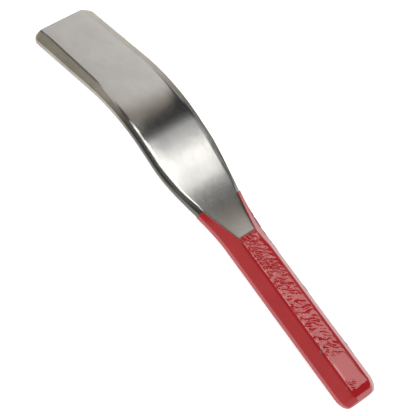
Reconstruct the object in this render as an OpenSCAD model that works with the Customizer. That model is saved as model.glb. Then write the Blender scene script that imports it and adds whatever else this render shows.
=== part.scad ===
// Panel beater's body spoon: one steel forging with a broad blade, a cranked neck and a
// flattened eight-sided bar handle, and a red skin that is dipped over the handle.
// The top is ground in one sweep after dipping, so bare steel runs on past the red edge.
// The spoon lies as it lies on a bench, blade tip towards -X and handle end towards +X,
// on the under edge of the tip and the under edge of the handle end.

/* [Blade] */
// Width of the blade over its rims
blade_w = 47; // [32:0.5:70]
// Length of the flat front of the blade, along its slope
blade_flat = 61.5; // [30:0.5:90]
// Angle that the flat front dips below the handle
blade_dip = 22.5; // [8:0.5:35]
// Radius of the crown where the blade turns down
crown_r = 115; // [60:1:200]
// Depth of the rim below the ground face, at the neck
rim_depth = 4.2; // [3.5:0.1:6]
// Depth of the rim below the ground face, at the tip
tip_rim_depth = 6; // [3.5:0.1:6.4]
// Width of the sloped margin beside the ground face, at the neck
margin_w = 4.7; // [3:0.1:7]
// Width of the sloped margin beside the ground face, at the tip
tip_margin_w = 6.3; // [3:0.1:9]
// Depth of the sloped margin at the neck
margin_drop = 1.2; // [0.6:0.1:2]
// Depth of the sloped margin at the tip
tip_margin_drop = 2.6; // [1:0.1:3]
// Thickness at the tip
tip_t = 7.2; // [6.8:0.1:9]
// Radius of the tip's two corners, seen from above
tip_corner_r = 6; // [2:0.5:10]

/* [Neck] */
// Thickness of the neck where it meets the blade
neck_t = 9.5; // [7:0.1:14]
// Radius of the hollow ground along the neck
hollow_r = 210; // [120:1:400]
// Angle at which the hollow runs out into the handle
runout_angle = 11.5; // [8:0.5:16]
// Angle at which the neck rises to the crown
rise_angle = 6.3; // [3:0.1:9]
// Length of straight neck between the hollow and the crown
neck_flat = 18; // [5:1:40]
// Length over which the bar widens into the blade
flare_len = 72; // [50:1:100]

/* [Handle] */
// Length of the full handle, from its end to where the ground face runs out
handle_len = 122; // [80:1:200]
// Width of the handle over its red skin
handle_w = 28; // [20:0.5:40]
// Height of the handle over its red skin
handle_h = 17; // [14:0.5:24]
// Width of the handle's flat top
handle_flat = 13.5; // [8:0.5:18]
// Height of the handle's sloped upper and lower faces
slope_h = 6; // [3:0.1:6.5]
// Length of the rounded nose at the handle's end
nose_len = 8; // [4:0.5:12]
// How far the nose draws in all round
nose_inset = 4.5; // [2:0.1:4.8]

/* [Skin] */
// Thickness of the red skin
skin_t = 0.4; // [0.3:0.05:0.6]
// Length of handle that the skin covers
skin_len = 151; // [130:1:170]

/* [Hidden] */

stock = 1;              // metal that grinding takes off the blank's face
least_margin = 0.3;     // what is left of the sloped margin at the tip's end
crown_steps = 12;       // sections along the crown
flat_steps = 4;         // sections along the blade's flat front
neck_steps = 32;        // sections from the handle to the crown's top
corner_steps = 8;       // sections round the tip's corners
nose_steps = 8;         // sections along the nose
arc_fn = 360;           // segments of the ground arcs
half_w_limit = 60;      // half width of the grinding sweep
sweep_h = 80;           // height of the grinding sweep above the handle
sweep_past = 20;        // how far the sweep runs on past the tip

// The ground line, seen from the side with the handle's top at z = 0. It starts where the
// ground face runs out on the handle and follows the hollow, the neck and the crown.
runout = [-handle_len, 0];
hollow_c = runout + hollow_r * [-sin(runout_angle), cos(runout_angle)];
hollow_end = hollow_c + hollow_r * [-sin(rise_angle), -cos(rise_angle)];
crown_start = hollow_end + neck_flat * [-cos(rise_angle), sin(rise_angle)];
crown_c = crown_start - crown_r * [sin(rise_angle), cos(rise_angle)];
crown_end = crown_c + crown_r * [-sin(blade_dip), cos(blade_dip)];
along_blade = [cos(blade_dip), sin(blade_dip)];
tip = crown_end - blade_flat * along_blade;
crown_top = crown_c + [0, crown_r];
crown_len = crown_r * blade_dip * PI / 180;
face_len = crown_len + blade_flat;

function mix(a, b, k) = a + (b - a) * k;
function ease(k) = k <= 0 ? 0 : k >= 1 ? 1 : k * k * (3 - 2 * k);
function ground_z(x) =
    x >= runout[0] ? 0 :
    x >= hollow_end[0] ? hollow_c[1] - sqrt(pow(hollow_r, 2) - pow(x - hollow_c[0], 2)) :
    x >= crown_start[0] ? crown_start[1] - (x - crown_start[0]) * tan(rise_angle) :
    crown_c[1] + sqrt(pow(crown_r, 2) - pow(x - crown_c[0], 2));

// The right half of a section, from the top edge to the bottom edge, as [y, height].
handle_half = [
    [handle_flat / 2, 0], [handle_w / 2, -slope_h],
    [handle_w / 2, slope_h - handle_h], [handle_flat / 2, -handle_h]];
function blade_half(margin, drop, rim, thick, w) = [
    [w - margin - stock * margin / drop, stock], [w, -drop], [w, -rim], [w - margin, -thick]];
function closed(half) = concat(half, [for (i = [3:-1:0]) [-half[i][0], half[i][1]]]);

// Moves every side of a closed section out by d, or in where d is negative.
function out_normal(a, b) = [a[1] - b[1], b[0] - a[0]] / norm(b - a);
function grown(s, d) = [for (i = [0:7])
    let (m = out_normal(s[(i + 7) % 8], s[i]), n = out_normal(s[i], s[(i + 1) % 8]))
    s[i] + d * (m + n) / (1 + m * n)];

// Sections stand across the spoon at x, with their height zero at z, and lean with the dip.
function placed(s, x, z, dip) = [for (p = s) [x - p[1] * sin(dip), p[0], z + p[1] * cos(dip)]];

// Sections of the nose, the handle and the flare, all over grown by d from bare steel.
function bar_section(x, d) =
    let (k = ease((-handle_len - x) / flare_len),
         bare = grown(closed(handle_half), -skin_t),
         broad = closed(blade_half(margin_w, margin_drop, rim_depth, neck_t, blade_w / 2)),
         lift = [0, ground_z(x)])
    placed(grown([for (i = [0:7]) mix(bare[i], broad[i] + lift, k)], d), x, 0, 0);
function nose_section(a, d) =
    let (off = d - skin_t, inset = (nose_inset + off) * (1 - cos(a)), middle = -handle_h / 2,
         across = 1 - inset / (handle_w / 2 + off), upright = 1 - inset / (handle_h / 2 + off))
    placed([for (p = grown(closed(handle_half), off)) [p[0] * across, mix(middle, p[1], upright)]],
        off - (nose_len + off) * (1 - sin(a)), 0, 0);
function bar_sections(x_front, d) = concat(
    [for (i = [0:nose_steps]) nose_section(90 - 90 * i / nose_steps, d)],
    [for (i = [0:neck_steps])
        let (x = mix(-handle_len, crown_top[0], i / neck_steps)) if (x > x_front) bar_section(x, d)],
    [bar_section(x_front, d)]);

// Sections of the blade: run is the way gone from the crown's top towards the tip, and left is
// what remains of it, over which the tip's corners round in.
function corner_cut(left) =
    left >= tip_corner_r ? 0 : tip_corner_r - sqrt(pow(tip_corner_r, 2) - pow(tip_corner_r - left, 2));
function blade_section(p, dip, run) =
    let (k = run / face_len,
         margin = mix(margin_w, tip_margin_w, k) - corner_cut(face_len - run),
         w = blade_w / 2 - corner_cut(face_len - run))
    placed(closed(blade_half(max(margin, least_margin), mix(margin_drop, tip_margin_drop, k),
        mix(rim_depth, tip_rim_depth, k), mix(neck_t, tip_t, k), w)), p[0], p[1], dip);
function blade_sections() = concat(
    [for (i = [1:crown_steps])
        let (a = blade_dip * i / crown_steps)
        blade_section(crown_c + crown_r * [-sin(a), cos(a)], a, crown_len * i / crown_steps)],
    [for (i = [1:flat_steps])
        let (run = (blade_flat - tip_corner_r) * i / flat_steps)
        blade_section(crown_end - run * along_blade, blade_dip, crown_len + run)],
    [for (i = [corner_steps - 1:-1:0])
        let (left = tip_corner_r * (1 - cos(90 * i / corner_steps)))
        blade_section(tip + left * along_blade, blade_dip, face_len - left)]);

// A solid through a row of eight-sided sections.
module loft(rows) {
    last = len(rows) - 1;
    polyhedron(
        points = [for (r = rows) each r],
        faces = concat(
            [[for (i = [0:7]) i]],
            [for (j = [0:last - 1], i = [0:7]) let (n = (i + 1) % 8)
                each [[8 * j + i, 8 * j + 8 + i, 8 * j + 8 + n], [8 * j + i, 8 * j + 8 + n, 8 * j + n]]],
            [[for (i = [7:-1:0]) 8 * last + i]]),
        convexity = 6);
}

// Everything above the ground line, as the grinding belt sweeps it.
module ground_off() {
    rotate([90, 0, 0]) linear_extrude(2 * half_w_limit, center = true) difference() {
        union() {
            polygon([runout, hollow_end, crown_start, crown_end,
                tip - sweep_past * along_blade,
                [tip[0] - sweep_past, sweep_h], [runout[0], sweep_h]]);
            translate(hollow_c) circle(hollow_r, $fn = arc_fn);
        }
        translate(crown_c) circle(crown_r, $fn = arc_fn);
    }
}

// The spoon turned down onto its two resting edges, with the middle of its length at x = 0.
tip_under = tip + tip_t * [sin(blade_dip), -cos(blade_dip)];
heel_under = [-nose_len, -handle_h];
rest_angle = atan2(heel_under[1] - tip_under[1], heel_under[0] - tip_under[0]);
function turned(p) = [
    p[0] * cos(rest_angle) + p[1] * sin(rest_angle), p[1] * cos(rest_angle) - p[0] * sin(rest_angle)];
middle_x = (turned(tip)[0] + turned([0, -nose_inset])[0]) / 2;
module resting() {
    translate([-middle_x, 0, -turned(heel_under)[1]]) rotate([0, rest_angle, 0]) children();
}

// The forging as it leaves the dies, before its face is ground.
module blank() {
    loft(concat(bar_sections(crown_top[0], 0), blade_sections()));
}

module forging() {
    color("silver") resting() difference() {
        blank();
        ground_off();
    }
}

module handle_skin() {
    color("firebrick") resting() difference() {
        loft(bar_sections(-skin_len, skin_t));
        blank();
        ground_off();
    }
}

forging();
handle_skin();
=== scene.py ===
# A panel beater's body spoon: one ground steel forging, and the red skin dipped over its handle.
import math
import bpy
import bmesh
from mathutils import Matrix, Vector, noise


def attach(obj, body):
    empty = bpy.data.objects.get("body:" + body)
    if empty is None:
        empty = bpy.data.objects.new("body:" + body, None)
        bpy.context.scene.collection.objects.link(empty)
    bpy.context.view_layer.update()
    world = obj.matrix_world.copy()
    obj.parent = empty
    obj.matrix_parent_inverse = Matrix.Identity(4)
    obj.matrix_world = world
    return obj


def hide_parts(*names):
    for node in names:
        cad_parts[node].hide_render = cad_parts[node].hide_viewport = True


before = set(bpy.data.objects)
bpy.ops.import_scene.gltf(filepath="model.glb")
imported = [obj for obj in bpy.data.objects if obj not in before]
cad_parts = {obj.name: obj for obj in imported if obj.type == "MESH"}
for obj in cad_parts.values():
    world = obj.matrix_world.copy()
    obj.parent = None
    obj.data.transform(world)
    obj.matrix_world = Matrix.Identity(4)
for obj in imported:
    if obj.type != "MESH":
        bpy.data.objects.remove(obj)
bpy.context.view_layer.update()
print("frame loaded")


# camera
camera = {
    "place": (0.22334, -0.44545, 0.82564),
    "right": (0.60157, 0.7584, 0.25089),
    "up": (-0.76529, 0.45709, 0.45322),
    "back": (0.22904, -0.46465, 0.85536),
    "lens": 129.8,  # on a 36 mm sensor
}


def makeCamera():
    data = bpy.data.cameras.new("camera")
    data.sensor_width = 36
    data.lens = camera["lens"]
    data.clip_start = 0.01
    view = bpy.data.objects.new("camera", data)
    bpy.context.scene.collection.objects.link(view)
    turn = Matrix([camera["right"], camera["up"], camera["back"]]).transposed()
    view.matrix_world = Matrix.Translation(camera["place"]) @ turn.to_4x4()
    bpy.context.scene.camera = view


makeCamera()
print("camera set")


# small tools for node trees
def addNode(tree, kind, inputs={}, **settings):
    node = tree.nodes.new(kind)
    for name, value in settings.items():
        setattr(node, name, value)
    for name, value in inputs.items():
        if isinstance(value, bpy.types.NodeSocket):
            tree.links.new(value, node.inputs[name])
        else:
            node.inputs[name].default_value = value
    return node


def calc(tree, operation, a, b=0.0, c=0.0):
    return addNode(tree, "ShaderNodeMath", {0: a, 1: b, 2: c}, operation=operation).outputs[0]


def between(tree, value, low, high, toLow=0.0, toHigh=1.0):
    inputs = {"Value": value, "From Min": low, "From Max": high, "To Min": toLow, "To Max": toHigh}
    return addNode(tree, "ShaderNodeMapRange", inputs, interpolation_type="SMOOTHSTEP").outputs[0]


def below(tree, value, low, high):
    return between(tree, value, low, high, 1.0, 0.0)


def blendColour(tree, share, a, b):
    node = addNode(tree, "ShaderNodeMix", {0: share, 6: a, 7: b}, data_type="RGBA")
    return node.outputs[2]


def noiseOn(tree, vector, stretch, scale, detail, roughness):
    placed = addNode(tree, "ShaderNodeMapping", {"Vector": vector, "Scale": stretch}).outputs[0]
    inputs = {"Vector": placed, "Scale": scale, "Detail": detail, "Roughness": roughness}
    return addNode(tree, "ShaderNodeTexNoise", inputs).outputs[0]


def storedValue(tree, name):
    return addNode(tree, "ShaderNodeAttribute", attribute_name=name).outputs["Fac"]


def bumpFrom(tree, height, strength, distance):
    inputs = {"Height": height, "Strength": strength, "Distance": distance}
    return addNode(tree, "ShaderNodeBump", inputs).outputs[0]


def newMaterial(name):
    material = bpy.data.materials.new(name)
    material.use_nodes = True
    material.node_tree.nodes.clear()
    return material, material.node_tree


def addSurface(tree, inputs, kind="ShaderNodeBsdfPrincipled"):
    shader = addNode(tree, kind, inputs)
    addNode(tree, "ShaderNodeOutputMaterial", {"Surface": shader.outputs[0]})


def addObject(name, bm, materials):
    mesh = bpy.data.meshes.new(name)
    bm.to_mesh(mesh)
    bm.free()
    for material in materials:
        mesh.materials.append(material)
    thing = bpy.data.objects.new(name, mesh)
    bpy.context.scene.collection.objects.link(thing)
    return thing


# sizes of the spoon, in millimetres and degrees, as the CAD model has them
spoon = {
    "bladeW": 47.0, "bladeFlat": 61.5, "bladeDip": 22.5, "crownR": 115.0,
    "rimDepth": 4.2, "tipRimDepth": 6.0, "marginW": 4.7, "tipMarginW": 6.3,
    "marginDrop": 1.2, "tipMarginDrop": 2.6, "tipThick": 7.2, "tipCornerR": 6.0,
    "neckThick": 9.5, "hollowR": 210.0, "runoutAngle": 11.5, "riseAngle": 6.3,
    "neckFlat": 18.0, "flareLen": 72.0,
    "handleLen": 122.0, "handleW": 28.0, "handleH": 17.0, "handleFlat": 13.5, "slopeH": 6.0,
    "noseLen": 8.0, "noseInset": 4.5, "skinThick": 0.4, "skinLen": 151.0,
    "leastMargin": 0.3, "stock": 1.0,
}

dip = math.radians(spoon["bladeDip"])
rise = math.radians(spoon["riseAngle"])
runoutTurn = math.radians(spoon["runoutAngle"])
runout = Vector((-spoon["handleLen"], 0))
hollowC = runout + spoon["hollowR"] * Vector((-math.sin(runoutTurn), math.cos(runoutTurn)))
hollowEnd = hollowC + spoon["hollowR"] * Vector((-math.sin(rise), -math.cos(rise)))
crownStart = hollowEnd + spoon["neckFlat"] * Vector((-math.cos(rise), math.sin(rise)))
crownC = crownStart - spoon["crownR"] * Vector((math.sin(rise), math.cos(rise)))
crownEnd = crownC + spoon["crownR"] * Vector((-math.sin(dip), math.cos(dip)))
bladeWay = Vector((math.cos(dip), math.sin(dip)))
tip = crownEnd - spoon["bladeFlat"] * bladeWay
crownLen = spoon["crownR"] * dip
faceLen = crownLen + spoon["bladeFlat"]

# the turn and lift that lay the spoon down on its tip and its handle's end
tipUnder = tip + spoon["tipThick"] * Vector((math.sin(dip), -math.cos(dip)))
heelUnder = Vector((-spoon["noseLen"], -spoon["handleH"]))
restTurn = math.atan2(heelUnder.y - tipUnder.y, heelUnder.x - tipUnder.x)


def turned(p):
    return Vector((p.x * math.cos(restTurn) + p.y * math.sin(restTurn),
                   p.y * math.cos(restTurn) - p.x * math.sin(restTurn)))


middleX = (turned(tip).x + turned(Vector((0, -spoon["noseInset"]))).x) / 2
layDown = (Matrix.Scale(0.001, 4) @ Matrix.Translation((-middleX, 0, -turned(heelUnder).y))
           @ Matrix.Rotation(restTurn, 4, "Y"))


def mix(a, b, k):
    return a + (b - a) * k


def ease(k):
    k = max(0.0, min(1.0, k))
    return k * k * (3 - 2 * k)


def rising(x, start, length):
    return ease((x - start) / length)


def falling(x, end, length):
    return ease((end - x) / length)


def noiseAt(a, b, seed):
    return noise.noise(Vector((a, b, seed)))


# noise of a given weight, length and width
def noiseLayer(layer, a, b, seed):
    weight, length, width = layer
    return weight * noiseAt(a / length, b / width, seed)


def groundZ(x):
    if x >= runout.x:
        return 0.0
    if x >= hollowEnd.x:
        return hollowC.y - math.sqrt(spoon["hollowR"] ** 2 - (x - hollowC.x) ** 2)
    if x >= crownStart.x:
        return crownStart.y - (x - crownStart.x) * math.tan(rise)
    return crownC.y + math.sqrt(spoon["crownR"] ** 2 - (x - crownC.x) ** 2)


# half sections: top edge, shoulder, lower shoulder, under edge, as (y, height)
def bladeHalf(margin, drop, rim, thick, halfW):
    stock = spoon["stock"]
    return [Vector((halfW - margin - stock * margin / drop, stock)), Vector((halfW, -drop)),
            Vector((halfW, -rim)), Vector((halfW - margin, -thick))]


handleHalf = [Vector((spoon["handleFlat"] / 2, 0)),
              Vector((spoon["handleW"] / 2, -spoon["slopeH"])),
              Vector((spoon["handleW"] / 2, spoon["slopeH"] - spoon["handleH"])),
              Vector((spoon["handleFlat"] / 2, -spoon["handleH"]))]


def grown(half, d):
    chain = [Vector((-half[0].x, half[0].y))] + half + [Vector((-half[3].x, half[3].y))]
    out = []
    for before, here, after in zip(chain, chain[1:], chain[2:]):
        m, n = (here - before).normalized(), (after - here).normalized()
        m, n = Vector((-m.y, m.x)), Vector((-n.y, n.x))
        out.append(here + d * (m + n) / (1 + m.dot(n)))
    return out


def cutAt(half, level):
    top, shoulder = half[0], half[1]
    if top.y > level:
        top = top.lerp(shoulder, (top.y - level) / (top.y - shoulder.y))
    return [top] + half[1:]


def barHalf(x, d):
    k = ease((-spoon["handleLen"] - x) / spoon["flareLen"])
    bare = grown(handleHalf, -spoon["skinThick"])
    broad = bladeHalf(spoon["marginW"], spoon["marginDrop"], spoon["rimDepth"],
                      spoon["neckThick"], spoon["bladeW"] / 2)
    lift = Vector((0, groundZ(x)))
    return cutAt(grown([a.lerp(b + lift, k) for a, b in zip(bare, broad)], d), groundZ(x))


def noseInsetAt(u, crisp):
    return crisp * u + (1 - crisp) * (1 - math.sqrt(max(0.0, 1 - u * u)))


def noseHalf(u, d, crisp):
    off = d - spoon["skinThick"]
    inset = (spoon["noseInset"] + off) * noseInsetAt(u, crisp)
    across = 1 - inset / (spoon["handleW"] / 2 + off)
    upright = 1 - inset / (spoon["handleH"] / 2 + off)
    middle = -spoon["handleH"] / 2
    return [Vector((p.x * across, mix(middle, p.y, upright))) for p in grown(handleHalf, off)]


def noseX(u, d):
    off = d - spoon["skinThick"]
    return off - (spoon["noseLen"] + off) * (1 - u)


def cornerCut(left, radius):
    past = max(0.0, radius - left)
    return radius - math.sqrt(max(0.0, radius ** 2 - past ** 2))


def bladeStation(run, tipRound, underRound):
    k = run / faceLen
    left = faceLen - run
    cut = cornerCut(left, spoon["tipCornerR"])
    margin = max(mix(spoon["marginW"], spoon["tipMarginW"], k) - cut, spoon["leastMargin"])
    thick = mix(spoon["neckThick"], spoon["tipThick"], k)
    half = cutAt(bladeHalf(margin, mix(spoon["marginDrop"], spoon["tipMarginDrop"], k),
                           mix(spoon["rimDepth"], spoon["tipRimDepth"], k), thick,
                           spoon["bladeW"] / 2 - cut), 0.0)
    top, under = cornerCut(left, tipRound), cornerCut(left, underRound)
    half = [Vector((p.x, -top + p.y * (thick - top - under) / thick)) for p in half]
    lean = min(run / spoon["crownR"], dip)
    if run < crownLen:
        origin = crownC + spoon["crownR"] * Vector((-math.sin(lean), math.cos(lean)))
    else:
        origin = crownEnd - (run - crownLen) * bladeWay
    return origin, lean, half


mostSetback = 0.45  # share of a side that the rounding of its edge may take


# the rounded outline of half a section, from the middle of its top to the middle of its underside
def outline(half, setbacks, flats, arcSteps):
    chain = [Vector((0, half[0].y))] + half + [Vector((0, half[3].y))]
    lengths = [(b - a).length for a, b in zip(chain, chain[1:])]
    points, start = [], chain[0]
    for i, corner in enumerate(half):
        before = lengths[i] if i == 0 else mostSetback * lengths[i]
        setback = min(setbacks[i], mostSetback * lengths[i + 1], before)
        entry = corner + setback * (chain[i] - corner).normalized()
        leave = corner + setback * (chain[i + 2] - corner).normalized()
        points += [start.lerp(entry, n / flats[i]) for n in range(flats[i])]
        for n in range(arcSteps):
            t = n / arcSteps
            points.append(entry.lerp(corner, t).lerp(corner.lerp(leave, t), t))
        start = leave
    points += [start.lerp(chain[5], n / flats[4]) for n in range(flats[4] + 1)]
    return points


grainScale = 0.01  # length of the grain map for each millimetre of surface
doubleGap = 0.0005  # points of the two long edges that meet are closer than this


# a grid wrapped round a row of outlines; its two long edges meet under the middle of the spoon
def wrapGrid(rows):
    last, half = len(rows) - 1, len(rows[0]["points"]) - 1
    bm = bmesh.new()
    bmesh.ops.create_grid(bm, x_segments=last, y_segments=2 * half, size=1.0)
    layers = {"row": bm.verts.layers.int.new("row"), "column": bm.verts.layers.int.new("column")}
    uv = bm.loops.layers.uv.new("grain")
    for row in rows:
        arc = [0.0]
        for a, b in zip(row["points"], row["points"][1:]):
            arc.append(arc[-1] + (b - a).length)
        row["arc"] = arc
    for v in bm.verts:
        i = round((v.co.x + 1) / 2 * last)
        j = round((v.co.y + 1) / 2 * 2 * half) - half  # below zero on the left side
        v[layers["row"]], v[layers["column"]] = i, j
        row, p = rows[i], rows[i]["points"][abs(j)]
        side = 1 if j >= 0 else -1
        v.co = (row["x"] - p.y * math.sin(row["lean"]), side * p.x,
                row["z"] + p.y * math.cos(row["lean"]))
    for face in bm.faces:
        for loop in face.loops:
            i, j = loop.vert[layers["row"]], loop.vert[layers["column"]]
            arc = math.copysign(rows[i]["arc"][abs(j)], j)
            loop[uv].uv = (rows[i]["way"] * grainScale, arc * grainScale)
    return bm, layers


# closes an open end with rings, each given by its scale and its push away from the last one
def closeEnd(bm, layers, row, steps):
    edges = [e for e in bm.edges
             if e.is_boundary and all(v[layers["row"]] == row for v in e.verts)]
    for scale, push in steps:
        made = bmesh.ops.extrude_edge_only(bm, edges=edges)["geom"]
        verts = [g for g in made if isinstance(g, bmesh.types.BMVert)]
        edges = [g for g in made if isinstance(g, bmesh.types.BMEdge)
                 and all(v in verts for v in g.verts)]
        middle = sum((v.co for v in verts), Vector()) / len(verts)
        for v in verts:
            v.co = middle + (v.co - middle) * scale + Vector(push)
        edges = [e for e in edges if e.is_boundary]
    face = bmesh.ops.contextual_create(bm, geom=edges)["faces"]
    bmesh.ops.triangulate(bm, faces=face)


def makePiece(name, bm, materials, sharpAngle):
    bmesh.ops.transform(bm, matrix=layDown, verts=bm.verts)
    bmesh.ops.recalc_face_normals(bm, faces=bm.faces)
    piece = addObject(name, bm, materials)
    mesh = piece.data
    mesh.polygons.foreach_set("use_smooth", [True] * len(mesh.polygons))
    mesh.set_sharp_from_angle(angle=math.radians(sharpAngle))
    print(name, "made with", len(mesh.polygons), "faces")
    return piece


# the steel forging; a pair in the settings is a place along the spoon and the length of the change
forging = {
    "flats": (10, 4, 3, 3, 5),  # columns over the face, margin, rim, lower margin and underside
    "arcSteps": 4, "step": 1.25, "tipSteps": 16, "noseSteps": 10, "noseCrisp": 0.2,
    "creaseBlade": 1.1, "creaseNeck": 1.9, "creaseTongue": 0.12,  # roundings of the face's edge
    "neckFrom": (-236.0, 30.0), "neckTo": (-147.0, 20.0), "tongueFade": 6.0,
    "shoulder": 0.7, "lowerShoulder": 1.0, "underEdge": 1.6,
    "tipRound": 1.5, "tipUnderRound": 0.9,
    "faceSetback": 2.0,  # the face is worked from this far before the ground cut
    "crowning": 0.16, "tongueCrowning": 0.06, "crowningPower": 5, "tongueTo": (-156.0, 25.0),
    "waveHeight": 0.02, "waveLen": 22.0, "waveNarrow": 0.7, "waveSeed": 3.1,
    "creaseIn": 0.9, "creaseOut": 1.0,  # the left edge stands in on the blade, out on the neck
    "creaseTurn": (-268.0, 40.0), "creaseRelease": (-153.0, 20.0), "creaseTip": 12.0,
    "forgedHeight": 0.05, "forgedLen": 5.0, "fineForgedLen": 1.7, "fineForged": 0.5,
    "forgedFade": 3, "underFade": 4,  # in columns
    # painted shade: the left margin and rim are darkened from the neck on, a painted reflection of
    # the dark room on that side
    "skinEdgeDarkLen": 1.3, "leftShadeFrom": (-240.0, 22.0), "leftShadeFade": 2,
    "noseRings": ((0.6, (0.1, 0, 0)),), "tipRing": 0.9, "tipPush": 0.04,
    "sharpAngle": 34,
}


def forgingRows():
    rows = []

    def addRow(x, z, lean, half, way):
        neck = falling(x, *forging["neckTo"]) * rising(x, *forging["neckFrom"])
        crease = mix(forging["creaseBlade"], forging["creaseNeck"], neck)
        bare = falling(x, -spoon["skinLen"], forging["tongueFade"])
        crease = mix(forging["creaseTongue"], crease, bare)
        setbacks = (crease, forging["shoulder"], forging["lowerShoulder"], forging["underEdge"])
        rows.append({"x": x, "z": z, "lean": lean, "way": way,
                     "points": outline(half, setbacks, forging["flats"], forging["arcSteps"])})

    for n in range(forging["noseSteps"]):
        u = math.cos(math.pi / 2 * n / forging["noseSteps"])
        x = noseX(u, 0)
        addRow(x, 0, 0, noseHalf(u, 0, forging["noseCrisp"]), x)
    barLen = -crownC.x - spoon["noseLen"]
    count = round(barLen / forging["step"])
    for n in range(count):
        x = -spoon["noseLen"] - barLen * n / count
        addRow(x, 0, 0, barHalf(x, 0), x)
    flatEnd = faceLen - spoon["tipCornerR"]
    count = round(flatEnd / forging["step"])
    runs = [flatEnd * n / count for n in range(count)]
    for n in range(forging["tipSteps"] + 1):
        left = 1 - math.sin(math.pi / 2 * n / forging["tipSteps"])
        runs.append(faceLen - spoon["tipCornerR"] * left)
    for run in runs:
        origin, lean, half = bladeStation(run, forging["tipRound"], forging["tipUnderRound"])
        addRow(origin.x, origin.y, lean, half, crownC.x - run)
    return rows


def makeForging(satin, forged):
    rows = forgingRows()
    bm, layers = wrapGrid(rows)
    flats, arcSteps = forging["flats"], forging["arcSteps"]
    creaseColumn = flats[0] + arcSteps
    shoulderColumn = creaseColumn + flats[1]
    sideEnd = shoulderColumn + arcSteps + flats[2] + arcSteps + flats[3]
    under, skinEdgeDark, scale = (bm.verts.layers.float.new(name) for name in ("under", "skinEdgeDark", "scale"))
    tipX = rows[-1]["x"]
    for v in bm.verts:
        row, column = rows[v[layers["row"]]], abs(v[layers["column"]])
        x, onLeft = row["x"], v[layers["column"]] < 0
        upward = Vector((-math.sin(row["lean"]), 0, math.cos(row["lean"])))
        v[under] = ease((column - sideEnd) / forging["underFade"])
        # the steel's face is darkened in a thin line along the skin's edge
        besideSkin = x > runout.x - forging["skinEdgeDarkLen"]
        besideSkin = besideSkin or (x > -spoon["skinLen"] and column >= flats[0])
        v[skinEdgeDark] = 1.0 if besideSkin and column <= creaseColumn else 0.0
        # the attribute named scale holds a painted shade: the left margin and rim darkened from the
        # neck on
        if onLeft:
            fade = ease((column - creaseColumn + 1) / forging["leftShadeFade"])
            v[scale] = rising(x, *forging["leftShadeFrom"]) * fade
        if column <= shoulderColumn:
            # the margin follows its edge with the face, and not at all at the shoulder
            held = 1 if column <= creaseColumn else (shoulderColumn - column) / flats[1]
            if x < runout.x - forging["faceSetback"]:
                share = min(1.0, abs(v.co.y) / max(row["points"][flats[0]].x, 1))
                tongue = falling(x, *forging["tongueTo"])
                crowning = mix(forging["tongueCrowning"], forging["crowning"], tongue)
                wave = noise.noise(Vector((v.co.x, v.co.y * forging["waveNarrow"],
                                           forging["waveSeed"])) / forging["waveLen"])
                lift = forging["waveHeight"] * wave * tongue
                lift -= crowning * share ** forging["crowningPower"]
                v.co += upward * lift * held
            if onLeft:
                drift = mix(-forging["creaseIn"], forging["creaseOut"],
                            rising(x, *forging["creaseTurn"]))
                drift *= falling(x, *forging["creaseRelease"])
                drift *= rising(x, tipX, forging["creaseTip"])
                v.co.y -= drift * held * min(1.0, column / creaseColumn)
        if x < -spoon["skinLen"] - 1 and column > creaseColumn:
            rough = noise.noise(Vector(v.co) / forging["forgedLen"])
            rough += forging["fineForged"] * noise.noise(Vector(v.co) / forging["fineForgedLen"])
            out = Vector((0, math.copysign(1, v.co.y), 0)) if column < sideEnd else -upward
            fade = min(1.0, (column - creaseColumn) / forging["forgedFade"])
            v.co += out * forging["forgedHeight"] * rough * fade
    for face in bm.faces:
        outermost = max(abs(v[layers["column"]]) for v in face.verts)
        face.material_index = 0 if outermost <= creaseColumn else 1
    bmesh.ops.remove_doubles(bm, verts=bm.verts, dist=doubleGap)
    closeEnd(bm, layers, 0, forging["noseRings"])
    push = -forging["tipPush"] * bladeWay
    closeEnd(bm, layers, len(rows) - 1, [(forging["tipRing"], (push.x, 0, push.y))])
    piece = makePiece("forging_steel", bm, (satin, forged), forging["sharpAngle"])
    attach(piece, "root")
    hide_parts("forging")


# a noise in the settings is its stretch, scale, detail and roughness
satinSteel = {
    "colour": (0.61, 0.60, 0.58, 1), "dullColour": (0.57, 0.56, 0.54, 1), "dull": (0.35, 0.7),
    "lineColour": (0.47, 0.46, 0.44, 1), "lines": (0.5, 0.75, 0.0, 0.5),
    # a thin darker line on the steel along the skin's edge
    "skinEdgeDarkColour": (0.14, 0.14, 0.12, 1), "skinEdgeDark": 0.75,
    "streaks": ((1.2, 60, 1), 6.0, 3.0, 0.65), "fineLines": ((3, 420, 1), 5.0, 2.0, 0.6),
    "clouds": ((1, 1, 1), 55.0, 3.0, 0.55),
    "roughness": 0.045, "streakRoughness": 0.10, "cloudRoughness": 0.05,
    "streakHeight": 1.6, "bump": (0.28, 0.00003), "anisotropy": 0.5, "turn": 0.25,
}
forgedSteel = {
    "colour": (0.56, 0.525, 0.46, 1), "darkColour": (0.36, 0.335, 0.29, 1),
    "clouded": (0.4, 0.75, 0.0, 0.5), "lined": (0.5, 0.75, 0.0, 0.4),
    "underColour": (0.30, 0.285, 0.265, 1), "under": 0.75,
    # scale and its colour are a painted shade on the left margin and rim of the neck
    "leftShadeColour": (0.17, 0.165, 0.155, 1), "scale": 0.85,
    "crossLines": ((200, 6, 1), 4.0, 3.0, 0.7), "broadLines": ((45, 2, 1), 4.0, 2.0, 0.6),
    "clouds": ((1, 1, 1), 90.0, 4.0, 0.6), "pits": ((1, 1, 1), 900.0, 3.0, 0.6),
    "roughness": 0.23, "lineRoughness": 0.12, "underRoughness": 0.12,
    "broadHeight": 1.5, "pitHeight": 0.6, "bump": (0.6, 0.00005),
}


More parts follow.
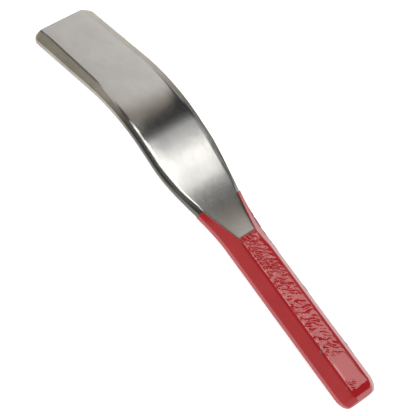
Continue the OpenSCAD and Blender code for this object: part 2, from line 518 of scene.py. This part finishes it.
def makeSatinSteel():
    material, tree = newMaterial("satinSteel")
    grain = addNode(tree, "ShaderNodeUVMap", uv_map="grain").outputs[0]
    place = addNode(tree, "ShaderNodeTexCoord").outputs["Object"]
    streaks = noiseOn(tree, grain, *satinSteel["streaks"])
    fineLines = noiseOn(tree, grain, *satinSteel["fineLines"])
    clouds = noiseOn(tree, place, *satinSteel["clouds"])
    colour = blendColour(tree, between(tree, clouds, *satinSteel["dull"]), satinSteel["colour"],
                         satinSteel["dullColour"])
    colour = blendColour(tree, between(tree, streaks, *satinSteel["lines"]), colour,
                         satinSteel["lineColour"])
    # darker in a thin line along the skin's edge
    skinEdgeDarkened = calc(tree, "MULTIPLY", storedValue(tree, "skinEdgeDark"), satinSteel["skinEdgeDark"])
    colour = blendColour(tree, skinEdgeDarkened, colour, satinSteel["skinEdgeDarkColour"])
    rough = calc(tree, "MULTIPLY_ADD", streaks, satinSteel["streakRoughness"],
                 satinSteel["roughness"])
    rough = calc(tree, "MULTIPLY_ADD", clouds, satinSteel["cloudRoughness"], rough)
    height = calc(tree, "MULTIPLY_ADD", streaks, satinSteel["streakHeight"], fineLines)
    tangent = addNode(tree, "ShaderNodeTangent", direction_type="UV_MAP", uv_map="grain").outputs[0]
    addSurface(tree, {
        "Base Color": colour, "Metallic": 1.0, "Roughness": rough,
        "Normal": bumpFrom(tree, height, *satinSteel["bump"]), "Tangent": tangent,
        "Anisotropic": satinSteel["anisotropy"], "Anisotropic Rotation": satinSteel["turn"]})
    return material


def makeForgedSteel():
    material, tree = newMaterial("forgedSteel")
    grain = addNode(tree, "ShaderNodeUVMap", uv_map="grain").outputs[0]
    place = addNode(tree, "ShaderNodeTexCoord").outputs["Object"]
    under = storedValue(tree, "under")
    crossLines = noiseOn(tree, grain, *forgedSteel["crossLines"])
    broadLines = noiseOn(tree, grain, *forgedSteel["broadLines"])
    clouds = noiseOn(tree, place, *forgedSteel["clouds"])
    pits = noiseOn(tree, place, *forgedSteel["pits"])
    colour = blendColour(tree, between(tree, clouds, *forgedSteel["clouded"]),
                         forgedSteel["colour"], forgedSteel["darkColour"])
    colour = blendColour(tree, between(tree, crossLines, *forgedSteel["lined"]), colour,
                         forgedSteel["darkColour"])
    colour = blendColour(tree, calc(tree, "MULTIPLY", under, forgedSteel["under"]), colour,
                         forgedSteel["underColour"])
    # painted shade: the left margin and rim of the neck are darkened
    leftShaded = calc(tree, "MULTIPLY", storedValue(tree, "scale"), forgedSteel["scale"])
    colour = blendColour(tree, leftShaded, colour, forgedSteel["leftShadeColour"])
    rough = calc(tree, "MULTIPLY_ADD", crossLines, forgedSteel["lineRoughness"],
                 forgedSteel["roughness"])
    rough = calc(tree, "MULTIPLY_ADD", under, forgedSteel["underRoughness"], rough)
    height = calc(tree, "MULTIPLY_ADD", broadLines, forgedSteel["broadHeight"], crossLines)
    height = calc(tree, "MULTIPLY_ADD", pits, forgedSteel["pitHeight"], height)
    addSurface(tree, {"Base Color": colour, "Metallic": 1.0, "Roughness": rough,
                      "Normal": bumpFrom(tree, height, *forgedSteel["bump"])})
    return material


makeForging(makeSatinSteel(), makeForgedSteel())


# the red skin; a layer of relief is its weight, length and width
skin = {
    "flats": (22, 9, 4, 6, 5),  # columns over the panel, slope, side, lower slope and underside
    "arcSteps": 3, "step": 0.5, "noseSteps": 18, "noseCrisp": 0.2, "wall": 0.37,
    "crease": 1.1, "shoulder": 0.6, "lowerShoulder": 1.2, "underEdge": 1.4,
    "creaseFade": 2.0,  # how far before the ground cut the crease's rounding fades
    "reliefHeight": 0.21, "reliefFrom": (-123.9, 1.5), "reliefTo": (-35.0, 10.0),
    "reliefMargin": 1.1, "cutRelief": 2.0,  # length of the ground cut that the relief covers
    "endRelief": 0.8, "endReliefFrom": (-17.0, 3.0), "endReliefSide": (2.5, 5.0),
    "streakTurn": 52.0, "bends": (1.35, 6.0, 6.0),
    "streaks": (1.5, 5.0, 1.5), "fineStreaks": (0.525, 2.1, 0.75), "knots": (0.3, 1.3, 1.1),
    "dimples": (0.02, 2.6, 2.2),
    "patchLeast": 0.7, "patches": (0.9, 9.0, 5.0), "frontPatch": 0.5, "frontTo": (-70.0, 30.0),
    "wobble": 0.045, "wobbleLen": 11.0, "fineWobble": 0.4, "fineWobbleLen": 3.2,
    "panelWobble": 0.35, "panelFade": 5.0,
    "droopW": 2.2, "droop": 0.22, "droopFade": 9,  # the panel sinks towards its right crease
    "lipW": 1.1, "lip": 0.14, "lipFade": 5,  # and ends in a narrow sloped lip on the left
    "dieShift": 1.1, "dieShiftLen": 12.0,  # the upper die sat this much to the right
    "edgeReach": 2.5, "cutFade": 4,  # in columns
    "flashHeight": 0.42, "flashLen": 14.0, "fineFlashLen": 1.9, "flashLift": 0.4,
    "flashFrom": 20.0, "flashFade": 6.0, "flashMore": 0.22, "fineFlash": (0.7, 0.6),
    "flashSteep": 2.2,
    "chips": ((-38.0, 1.3), (-11.0, 0.8)),  # worn spots on the left crease: place, half length
    "chipRagged": (0.5, 0.6, 2.0), "chipSteep": 3,
    "ragged": 0.35, "raggedLen": 4.0,  # the dipped edge isn't quite straight
    "endRings": ((0.93, (0.18, 0, 0)), (0.8, (0.16, 0, 0)), (0.5, (0.05, 0, 0))),
    "sharpAngle": 40,
}


def panelRelief(x, y, halfW):
    edge = ease((halfW - abs(y)) / (skin["reliefMargin"] if y < 0 else skin["droopW"]))
    rough = 1 - rising(x, *skin["reliefTo"])
    endRough = rising(x, *skin["endReliefFrom"]) * falling(y, *skin["endReliefSide"])
    rough = max(rough, skin["endRelief"] * endRough)
    turn = math.radians(skin["streakTurn"])
    bend = noiseLayer(skin["bends"], x, y, 8.3)
    a = x * math.cos(turn) + y * math.sin(turn) + bend
    b = -x * math.sin(turn) + y * math.cos(turn) + bend
    relief = noiseLayer(skin["streaks"], a, b, 1.7) + noiseLayer(skin["fineStreaks"], a, b, 6.3)
    relief += noiseLayer(skin["knots"], x, y, 5.2)
    patch = skin["patchLeast"] + abs(noiseLayer(skin["patches"], x, y, 2.4))
    patch += skin["frontPatch"] * falling(x, *skin["frontTo"])
    relief = skin["reliefHeight"] * patch * relief * rough + noiseLayer(skin["dimples"], x, y, 0.4)
    return relief * edge * rising(x, *skin["reliefFrom"])


def skinRows():
    rows = []

    def addRow(x, half):
        fade = ease((x - runout.x) / skin["creaseFade"])
        setbacks = (skin["crease"] * fade, skin["shoulder"], skin["lowerShoulder"],
                    skin["underEdge"])
        points = outline(half, setbacks, skin["flats"], skin["arcSteps"])
        cut = 1 - fade
        if cut > 0:  # towards the ground cut the last flat column moves to the steel's edge
            n = skin["flats"][0]
            steelEdge = barHalf(x, 0)[0].x
            for j in range(n):
                points[j] = Vector((mix(points[j].x, steelEdge * j / (n - 1), cut), points[j].y))
        rows.append({"x": x, "z": 0, "lean": 0, "way": x, "points": points})

    for n in range(skin["noseSteps"]):
        u = math.cos(math.pi / 2 * n / skin["noseSteps"])
        addRow(noseX(u, spoon["skinThick"]), noseHalf(u, spoon["skinThick"], skin["noseCrisp"]))
    length = spoon["handleLen"] - spoon["noseLen"]
    count = round(length / skin["step"])
    for n in range(count):
        x = -spoon["noseLen"] - length * n / count
        addRow(x, barHalf(x, spoon["skinThick"]))
    length = spoon["skinLen"] - spoon["handleLen"]
    count = round(length / skin["step"])
    for n in range(count + 1):
        x = runout.x - length * n / count
        addRow(x, barHalf(x, spoon["skinThick"]))
    return rows


def onPanel(x):
    fade = skin["panelFade"]
    return rising(x, runout.x + 1, fade) * falling(x, -spoon["noseLen"], fade)


def sinkRight(v, x, column, halfW, shoulderColumn):
    n = skin["flats"][0]
    sunk = min(1.0, max(0.0, (v.co.y - halfW + skin["droopW"]) / skin["droopW"])) ** 2
    sunk *= min(1.0, max(0.0, 1 - (column - n) / skin["droopFade"]))
    v.co.z -= skin["droop"] * sunk * onPanel(x)
    slopeShare = max(0.0, (shoulderColumn - column) / (skin["flats"][1] - 1))
    share = min(1.0, (column / n) ** 2, slopeShare)
    v.co.y += skin["dieShift"] * share * rising(x, runout.x + 1, skin["dieShiftLen"])


def slopeLeft(v, x, column, halfW):
    lip = min(1.0, max(0.0, (skin["lipW"] - halfW - v.co.y) / skin["lipW"]))
    lip *= min(1.0, max(0.0, 1 - (column - skin["flats"][0]) / skin["lipFade"]))
    v.co.z -= skin["lip"] * lip * onPanel(x)


def wornAt(x, column):
    worn = 0.0
    if abs(column - skin["flats"][0] - 2) <= 1:
        ragged = 1 + noiseLayer(skin["chipRagged"], x, column, 4.4)
        for place, reach in skin["chips"]:
            worn = max(worn, skin["chipSteep"] * (1 - abs(x - place) / (reach * ragged)))
    return min(1.0, worn)


def wobble(v, share):
    out = Vector((0, v.co.y, v.co.z + spoon["handleH"] / 2)).normalized()
    uneven = noise.noise(Vector(v.co) / skin["wobbleLen"])
    uneven += skin["fineWobble"] * noise.noise(Vector(v.co) / skin["fineWobbleLen"])
    v.co += out * skin["wobble"] * uneven * share


# a thin broken ridge along the right shoulder, where the dies met
def flashAt(x, fromRidge):
    least, change = skin["fineFlash"]
    broken = max(0.0, noiseAt(x / skin["flashLen"], 0.3, 7.7) + skin["flashMore"])
    broken *= least + change * noiseAt(x / skin["fineFlashLen"], 0.3, 2.7)
    broken = min(1.0, broken * skin["flashSteep"]) * (1 - fromRidge / 2)
    return broken * falling(x, -spoon["noseLen"], skin["flashFade"])


def makeSkin(red):
    rows = skinRows()
    bm, layers = wrapGrid(rows)
    n, arcSteps = skin["flats"][0], skin["arcSteps"]
    shoulderColumn = n + arcSteps + skin["flats"][1]
    names = ("panel", "edge", "cutFace", "chip", "flash")
    panel, edge, cutFace, chip, flash = (bm.verts.layers.float.new(name) for name in names)
    corners = [n + arcSteps / 2]
    for flat in skin["flats"][1:4]:
        corners.append(corners[-1] + arcSteps + flat)
    for v in bm.verts:
        i, j = v[layers["row"]], v[layers["column"]]
        row, column = rows[i], abs(j)
        x, halfW = row["x"], row["points"][n].x
        v[edge] = max(0.0, 1 - min(abs(column - c) for c in corners) / skin["edgeReach"])
        free = 1.0  # how far a point may leave its place
        if x < runout.x - 0.01:
            v[cutFace] = 1.0 if column <= n else 0.0
            free = 0.0 if column <= n else min(1.0, (column - n) / skin["cutFade"])
        if column <= n and runout.x - skin["cutRelief"] < x < -spoon["noseLen"] + 0.01:
            v.co.z += panelRelief(x, v.co.y, halfW)
            v[panel] = ease((halfW - abs(v.co.y)) / skin["reliefMargin"])
        if j > 0:
            sinkRight(v, x, column, halfW, shoulderColumn)
        else:
            slopeLeft(v, x, column, halfW)
            v[chip] = wornAt(x, column)
        wobble(v, free * (skin["panelWobble"] if column <= n else 1))
        fromRidge = abs(column - shoulderColumn)
        if j > 0 and fromRidge < 2 and x > runout.x - skin["flashFrom"]:
            broken = flashAt(x, fromRidge)
            v.co.y += skin["flashHeight"] * broken
            v.co.z += skin["flashLift"] * skin["flashHeight"] * broken
            v[flash] = min(1.0, 2 * broken)
        if i == len(rows) - 1:
            length = skin["raggedLen"]
            v.co.x += skin["ragged"] * noiseAt(0.2, v.co.y / length, v.co.z / length)

    # the face over the tongue of bare steel is taken out
    def overSteel(v):
        row = rows[v[layers["row"]]]
        sunk = row["x"] < runout.x and row["points"][0].y < -spoon["skinThick"]
        return sunk and abs(v[layers["column"]]) <= n - 1

    steel = [f for f in bm.faces if all(overSteel(v) for v in f.verts)]
    bmesh.ops.delete(bm, geom=steel, context="FACES")
    bmesh.ops.remove_doubles(bm, verts=bm.verts, dist=doubleGap)
    closeEnd(bm, layers, 0, skin["endRings"])
    piece = makePiece("handle_skin_red", bm, (red,), skin["sharpAngle"])
    wall = piece.modifiers.new("wall", "SOLIDIFY")
    wall.thickness = skin["wall"] * 0.001
    wall.offset = -1
    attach(piece, "root")
    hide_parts("handle_skin")


redSkin = {
    "colour": (0.325, 0.005, 0.008, 1), "lightColour": (0.36, 0.009, 0.013, 1),
    "light": (0.3, 0.7), "darkColour": (0.25, 0.003, 0.006, 1), "specked": (0.55, 0.8, 0.0, 0.5),
    # painted shade: the red is darkened along the section's rounded edges
    # painted shade: the skin's cut face, where it steps down to the steel, is darkened
    "edgeShade": 0.35, "cutShade": 0.8,
    # painted shade: the red is darkened along the flash ridge
    "flashShadeColour": (0.13, 0.003, 0.004, 1), "flash": (0.2, 0.7, 0.0, 0.8),
    "chipColour": (0.13, 0.075, 0.07, 1), "chipNoise": (0.70, 0.715), "chipEdge": (0.3, 0.7),
    "worn": (0.2, 0.6), "wornNoise": (0.40, 0.46),
    "clouds": ((1, 1, 1), 45.0, 3.0, 0.5), "specks": ((1, 1, 1), 700.0, 2.0, 0.5),
    "peel": ((1, 1, 1), 420.0, 2.0, 0.5), "chips": ((1, 1, 1), 210.0, 3.0, 0.6),
    "roughness": 0.11, "cloudRoughness": 0.08, "coatRoughness": 0.06,
    "speckHeight": 0.35, "chipDepth": 3.0, "bump": 0.15, "panelBump": 0.15,
    "bumpDistance": 0.00006,
}


def makeRedSkin():
    material, tree = newMaterial("redSkin")
    place = addNode(tree, "ShaderNodeTexCoord").outputs["Object"]
    edge = storedValue(tree, "edge")
    clouds, specks, peel, chips = (noiseOn(tree, place, *redSkin[name])
                                   for name in ("clouds", "specks", "peel", "chips"))
    colour = blendColour(tree, between(tree, clouds, *redSkin["light"]), redSkin["colour"],
                         redSkin["lightColour"])
    colour = blendColour(tree, between(tree, specks, *redSkin["specked"]), colour,
                         redSkin["darkColour"])
    # painted shade along the rounded edges
    colour = blendColour(tree, calc(tree, "MULTIPLY", edge, redSkin["edgeShade"]), colour,
                         redSkin["darkColour"])
    # painted shade along the flash ridge
    colour = blendColour(tree, between(tree, storedValue(tree, "flash"), *redSkin["flash"]),
                         colour, redSkin["flashShadeColour"])
    chipped = calc(tree, "MULTIPLY", between(tree, chips, *redSkin["chipNoise"]),
                   between(tree, edge, *redSkin["chipEdge"]))
    worn = calc(tree, "MULTIPLY", between(tree, storedValue(tree, "chip"), *redSkin["worn"]),
                between(tree, chips, *redSkin["wornNoise"]))
    chipped = calc(tree, "MAXIMUM", chipped, worn)
    colour = blendColour(tree, chipped, colour, redSkin["chipColour"])
    # painted shade on the skin's cut face
    cut = calc(tree, "MULTIPLY", storedValue(tree, "cutFace"), redSkin["cutShade"])
    colour = blendColour(tree, cut, colour, redSkin["darkColour"])
    rough = calc(tree, "MULTIPLY_ADD", clouds, redSkin["cloudRoughness"], redSkin["roughness"])
    height = calc(tree, "MULTIPLY_ADD", specks, redSkin["speckHeight"], peel)
    height = calc(tree, "MULTIPLY_ADD", chipped, -redSkin["chipDepth"], height)
    strength = calc(tree, "MULTIPLY_ADD", storedValue(tree, "panel"), redSkin["panelBump"],
                    redSkin["bump"])
    bump = bumpFrom(tree, height, strength, redSkin["bumpDistance"])
    addSurface(tree, {
        "Base Color": colour, "Roughness": rough, "Normal": bump, "Coat Weight": 1.0,
        "Coat Roughness": redSkin["coatRoughness"], "Coat Normal": bump, "IOR": 1.5})
    return material


makeSkin(makeRedSkin())


# the floor, lit from below as a light table is
floor = {
    "side": 3.0, "colour": (0.9, 0.9, 0.9, 1), "mottleColour": (0.89, 0.89, 0.885, 1),
    "mottle": ((1, 1, 1), 8.0, 2.0, 0.5), "glow": 0.62,
}


def makeFloor():
    material, tree = newMaterial("paleFloor")
    place = addNode(tree, "ShaderNodeTexCoord").outputs["Object"]
    mottle = noiseOn(tree, place, *floor["mottle"])
    mirrored = addNode(tree, "ShaderNodeLightPath").outputs["Is Glossy Ray"]
    addSurface(tree, {
        "Base Color": blendColour(tree, mottle, floor["colour"], floor["mottleColour"]),
        "Roughness": 0.9, "Specular IOR Level": 0.1, "Emission Color": (1, 1, 1, 1),
        "Emission Strength": calc(tree, "MULTIPLY_ADD", mirrored, -floor["glow"], floor["glow"])})
    bm = bmesh.new()
    bmesh.ops.create_grid(bm, x_segments=2, y_segments=2, size=floor["side"] / 2)
    addObject("floor", bm, [material])


makeFloor()
print("floor laid")


# studio light: an even white tent for matt surfaces, and the room that the metal mirrors;
# a pair is where a change begins and ends, in a ray's slope along or across, or in its side part
studio = {
    "tent": (1.12, 1.12, 1.12, 1), "horizon": 0.02,
    "dark": (0.045, 0.044, 0.046, 1),
    "overhead": (0.125, 0.12, 0.115, 1), "overheadTo": (0.10, 0.22),
    "wallFar": (0.83, 0.81, 0.785, 1), "wallFarLow": (0.70, 0.68, 0.655, 1),
    "wallFarRise": (0.38, 0.50),
    "wallNear": (0.66, 0.61, 0.55, 1), "wallNearLow": (0.36, 0.33, 0.29, 1),
    "wallNearRise": (0.42, 0.54),
    "wallFade": (-0.64, -0.36), "wallEdge": (-0.37, -0.26), "wallSkew": -1.0, "wallMiddle": 0.57,
    "wallFoot": (0.30, 0.46), "wallFootTo": (-0.75, -0.5),
    "wallBrown": (0.38, 0.34, 0.29, 1), "wallBrownTo": (-0.15, 0.10),
    "gap": (0.10, 0.095, 0.09, 1), "gapSides": ((-0.10, -0.03), (0.22, 0.32)),
    "gapEnds": ((-2.6, -2.1), (-1.4, -1.2)),
    "softbox": (2.0, 1.98, 1.93, 1), "softboxEnds": ((-0.10, -0.06), (0.22, 0.30)),
    "softboxSides": ((0.30, 0.36), (0.84, 0.98)),
    "strip": (4.0, 4.0, 3.95, 1), "stripEnds": ((-0.27, -0.22), (0.12, 0.20)),
    "stripSides": ((0.20, 0.23), (0.30, 0.34)),
    "back": (0.46, 0.45, 0.44, 1), "backFar": (0.80, 0.79, 0.78, 1), "backFade": (-1.9, -0.6),
    "backSide": (0.65, 0.78), "backTo": (-0.42, -0.32),
    "front": (0.42, 0.41, 0.40, 1), "frontSide": (-0.7, -0.6),
    "window": (1.7, 1.7, 1.7, 1), "windowEdge": (1.1, 1.6), "windowSide": (0.12, 0.28),
    "rightWall": (0.62, 0.61, 0.60, 1),
}


def inside(tree, value, low, high):
    return calc(tree, "MULTIPLY", between(tree, value, *low), below(tree, value, *high))


def makeWorld():
    world = bpy.data.worlds.new("studio")
    bpy.context.scene.world = world
    world.use_nodes = True
    tree = world.node_tree
    tree.nodes.clear()
    way = addNode(tree, "ShaderNodeTexCoord").outputs["Generated"]
    parts = addNode(tree, "ShaderNodeSeparateXYZ", {0: way}).outputs
    height = calc(tree, "MAXIMUM", parts[2], studio["horizon"])
    side = parts[1]
    along = calc(tree, "DIVIDE", parts[0], height)  # where the ray meets a ceiling, lengthwise
    across = calc(tree, "DIVIDE", side, height)

    # the long wall behind the blade, with a dark gap and an edge that runs askew
    wallFar = blendColour(tree, between(tree, side, *studio["wallFarRise"]),
                          studio["wallFarLow"], studio["wallFar"])
    wallNear = blendColour(tree, between(tree, side, *studio["wallNearRise"]),
                           studio["wallNearLow"], studio["wallNear"])
    wall = blendColour(tree, between(tree, along, *studio["wallFade"]), wallFar, wallNear)
    wall = blendColour(tree, between(tree, side, *studio["wallBrownTo"]), studio["wallBrown"], wall)
    gap = calc(tree, "MULTIPLY", inside(tree, side, *studio["gapSides"]),
               inside(tree, along, *studio["gapEnds"]))
    wall = blendColour(tree, gap, wall, studio["gap"])
    skewed = calc(tree, "MULTIPLY_ADD", across, -studio["wallSkew"],
                  studio["wallSkew"] * studio["wallMiddle"])
    skewed = calc(tree, "ADD", along, skewed)
    foot = calc(tree, "MAXIMUM", between(tree, across, *studio["wallFoot"]),
                below(tree, along, *studio["wallFootTo"]))
    edge = calc(tree, "MULTIPLY", below(tree, skewed, *studio["wallEdge"]), foot)
    ceiling = blendColour(tree, between(tree, across, *studio["overheadTo"]),
                          studio["overhead"], studio["dark"])
    colour = blendColour(tree, edge, ceiling, wall)

    # two lamps overhead
    for lamp in ("softbox", "strip"):
        lit = calc(tree, "MULTIPLY", inside(tree, along, *studio[lamp + "Ends"]),
                   inside(tree, across, *studio[lamp + "Sides"]))
        colour = blendColour(tree, lit, colour, studio[lamp])

    # the back wall, the front wall, and the window past the handle's end
    back = calc(tree, "MULTIPLY", between(tree, side, *studio["backSide"]),
                below(tree, along, *studio["backTo"]))
    backWall = blendColour(tree, between(tree, along, *studio["backFade"]), studio["backFar"],
                           studio["back"])
    colour = blendColour(tree, back, colour, backWall)
    colour = blendColour(tree, below(tree, side, *studio["frontSide"]), colour, studio["front"])
    window = blendColour(tree, between(tree, side, *studio["windowSide"]), studio["rightWall"],
                         studio["window"])
    colour = blendColour(tree, between(tree, along, *studio["windowEdge"]), colour, window)
    mirrored = addNode(tree, "ShaderNodeLightPath").outputs["Is Glossy Ray"]
    colour = blendColour(tree, mirrored, studio["tent"], colour)
    light = addNode(tree, "ShaderNodeBackground", {"Color": colour})
    addNode(tree, "ShaderNodeOutputWorld", {"Surface": light.outputs[0]})


# a glowing card close above the neck, which only the polished metal mirrors
flag = {
    "low": (-0.0223, 0.1875), "high": (-0.1035, 0.477), "sides": (0.06, 0.45),
    "colour": (0.97, 0.985, 1, 1), "bright": 0.97, "dark": 0.06, "fall": 3.3,
}


def makeFlag():
    (lowX, lowZ), (highX, highZ) = flag["low"], flag["high"]
    material, tree = newMaterial("flagGlow")
    place = addNode(tree, "ShaderNodeTexCoord").outputs["Object"]
    z = addNode(tree, "ShaderNodeSeparateXYZ", {0: place}).outputs[2]
    left = addNode(tree, "ShaderNodeMapRange", {
        "Value": z, "From Min": lowZ, "From Max": highZ, "To Min": 1.0, "To Max": 0.0}).outputs[0]
    fall = calc(tree, "POWER", left, flag["fall"])
    glow = calc(tree, "MULTIPLY_ADD", fall, flag["bright"], flag["dark"])
    addSurface(tree, {"Color": flag["colour"], "Strength": glow}, "ShaderNodeEmission")
    bm = bmesh.new()
    lowEdge = bm.edges.new([bm.verts.new((lowX, y, lowZ)) for y in flag["sides"]])
    made = bmesh.ops.extrude_edge_only(bm, edges=[lowEdge])["geom"]
    bmesh.ops.translate(bm, verts=[g for g in made if isinstance(g, bmesh.types.BMVert)],
                        vec=(highX - lowX, 0, highZ - lowZ))
    card = addObject("studioFlag", bm, [material])
    card.visible_camera = card.visible_diffuse = card.visible_shadow = False


makeWorld()
makeFlag()
bpy.context.scene.view_settings.view_transform = "Standard"
print("studio lit")
